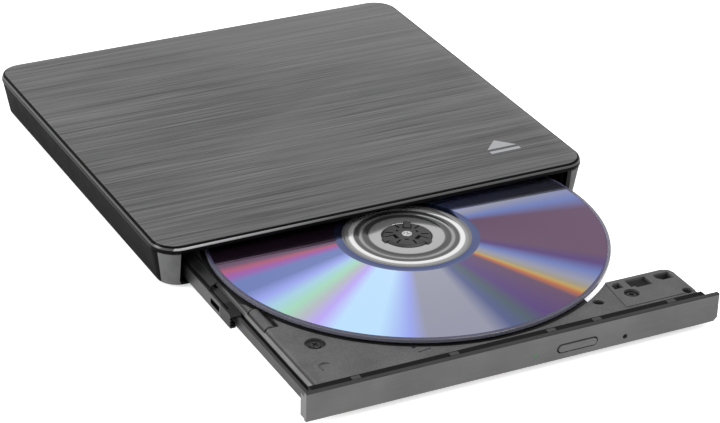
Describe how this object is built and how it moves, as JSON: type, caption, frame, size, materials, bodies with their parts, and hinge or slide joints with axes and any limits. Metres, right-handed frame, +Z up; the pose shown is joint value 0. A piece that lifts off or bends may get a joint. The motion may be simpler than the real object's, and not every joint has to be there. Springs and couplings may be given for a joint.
{
  "type": "external optical drive",
  "caption": "Slim external optical disc drive with its tray partly open: flat dark enclosure, sliding tray on telescopic rails, disc on a sprung hub, eject button and rear socket.",
  "frame": {"origin": "centre of the enclosure footprint, on the surface that the feet stand on; the base mount is the underside 0.8 mm above it", "axes": "+X is the width, to the right seen from the front; the tray leaves towards -Y; +Z is up"},
  "size_m": [0.144, 0.2195, 0.014],
  "materials": {
    "brushed_top": "satin with fine hairlines",
    "shell_plastic": "fine satin",
    "rubber": "matte",
    "screw_steel": "bright",
    "sheet_steel": "satin",
    "chassis_steel": "satin",
    "black_screw": "satin",
    "rail_steel": "satin",
    "board": "solder mask",
    "chip_black": "matte",
    "connector_plastic": "matte",
    "capacitor_can": "bright",
    "socket_metal": "bright",
    "tray_plastic": "fine spark texture",
    "bezel_plastic": "satin",
    "black_plastic": "satin",
    "clear_plastic": "clear",
    "led": "clear",
    "cast_metal": "cast",
    "rod_steel": "ground",
    "copper": "wound wire",
    "lens_glass": "coated",
    "disc_data": "mirror with rainbow sheen"
  },
  "bodies": {
    "enclosure": {"top_cover": "brushed_top", "cover_tongues": "shell_plastic", "chassis_walls": "chassis_steel", "bottom_shell": "shell_plastic", "rubber_feet": "rubber", "base_screws": "screw_steel", "damping_strips": "rubber", "chassis_base": "chassis_steel", "chassis_cover": "chassis_steel", "chassis_screws": "screw_steel", "left_outer_rail": "chassis_steel", "right_outer_rail": "chassis_steel", "main_board": "board", "board_chips": "chip_black", "board_connectors": "connector_plastic", "capacitors": "capacitor_can", "board_screws": "screw_steel", "usb_socket": "socket_metal", "usb_socket_tongue": "black_plastic", "latch_post": "rod_steel"},
    "tray_unit": {"tray": "tray_plastic", "bezel": "bezel_plastic", "bezel_frame": "black_plastic", "light_pipe": "clear_plastic", "tray_bottom_plate": "sheet_steel", "tray_screws": "black_screw", "tray_board": "board", "status_led": "led", "eject_switch": "connector_plastic", "engine_frame": "cast_metal", "engine_cover": "sheet_steel", "damper_bushes": "rubber", "guide_rods": "rod_steel", "sled_motor": "sheet_steel", "spindle_base": "sheet_steel", "stator_core": "sheet_steel", "stator_coils": "copper", "latch_pin": "rod_steel", "latch_solenoid": "black_plastic"},
    "left_rail_unit": {"left_rail": "rail_steel", "left_rail_stop": "black_plastic"},
    "right_rail_unit": {"right_rail": "rail_steel"},
    "spindle_unit": {"rotor": "sheet_steel", "turntable": "black_plastic", "turntable_mat": "rubber", "hub_cap": "black_plastic", "spindle_shaft": "rod_steel", "disc": "disc_data"},
    "claw_1": {"hub_claw_1": "black_plastic"},
    "claw_2": {"hub_claw_2": "black_plastic"},
    "claw_3": {"hub_claw_3": "black_plastic"},
    "sled_unit": {"sled": "cast_metal", "sled_nut": "connector_plastic"},
    "lens_unit": {"lens_holder": "black_plastic", "lens": "lens_glass"},
    "lead_screw_unit": {"lead_screw": "rod_steel"},
    "button_unit": {"eject_button": "bezel_plastic"},
    "latch_unit": {"tray_latch": "connector_plastic"},
    "plunger_unit": {"solenoid_plunger": "rod_steel"},
    "release_unit": {"release_slider": "black_plastic"}
  },
  "joints": [
    {"name": "tray_slide", "type": "slide", "parent": "enclosure", "child": "tray_unit", "axis": [0, -1, 0], "range_m": [-0.0816, 0.049]},
    {"name": "left_rail_slide", "type": "slide", "parent": "enclosure", "child": "left_rail_unit", "axis": [0, -1, 0], "range_m": [-0.0408, 0.0245]},
    {"name": "right_rail_slide", "type": "slide", "parent": "enclosure", "child": "right_rail_unit", "axis": [0, -1, 0], "range_m": [-0.0408, 0.0245]},
    {"name": "spindle_spin", "type": "hinge", "parent": "tray_unit", "child": "spindle_unit", "pos_m": [0.0014, -0.0813, 0.008], "axis": [0, 0, 1], "continuous": true},
    {"name": "claw_1_press", "type": "slide", "parent": "spindle_unit", "child": "claw_1", "axis": [-0.4695, -0.8829, 0], "range_m": [0, 0.0008], "stiffness_N_per_m": 150},
    {"name": "claw_2_press", "type": "slide", "parent": "spindle_unit", "child": "claw_2", "axis": [0.9994, 0.0349, 0], "range_m": [0, 0.0008], "stiffness_N_per_m": 150},
    {"name": "claw_3_press", "type": "slide", "parent": "spindle_unit", "child": "claw_3", "axis": [-0.5299, 0.848, 0], "range_m": [0, 0.0008], "stiffness_N_per_m": 150},
    {"name": "sled_slide", "type": "slide", "parent": "tray_unit", "child": "sled_unit", "axis": [-0.7071, -0.7071, 0], "range_m": [-0.007, 0.0234]},
    {"name": "lens_focus", "type": "slide", "parent": "sled_unit", "child": "lens_unit", "axis": [0, 0, 1], "range_m": [-0.0003, 0.0005], "stiffness_N_per_m": 60},
    {"name": "lead_screw_turn", "type": "hinge", "parent": "tray_unit", "child": "lead_screw_unit", "pos_m": [-0.00553, -0.1168, 0.0056], "axis": [-0.7071, -0.7071, 0], "range_deg": [-840.5, 2808.5]},
    {"name": "eject_button_press", "type": "slide", "parent": "tray_unit", "child": "button_unit", "axis": [0, 1, 0], "range_m": [0, 0.0006], "stiffness_N_per_m": 350},
    {"name": "latch_swing", "type": "hinge", "parent": "tray_unit", "child": "latch_unit", "pos_m": [0.0425, -0.1413, 0.0045], "axis": [0, 0, 1], "range_deg": [0, 16]},
    {"name": "plunger_slide", "type": "slide", "parent": "tray_unit", "child": "plunger_unit", "axis": [-1, 0, 0], "range_m": [0, 0.00069]},
    {"name": "release_slide", "type": "slide", "parent": "tray_unit", "child": "release_unit", "axis": [0, 1, 0], "range_m": [0, 0.0025], "stiffness_N_per_m": 60}
  ],
  "couplings": [
    {"joint": "left_rail_slide", "follows": "tray_slide", "ratio": 0.5},
    {"joint": "right_rail_slide", "follows": "tray_slide", "ratio": 0.5},
    {"joint": "lead_screw_turn", "follows": "sled_slide", "rad_per_m": 2094.4},
    {"joint": "latch_swing", "follows": "plunger_slide", "rad_per_m": 400}
  ]
}
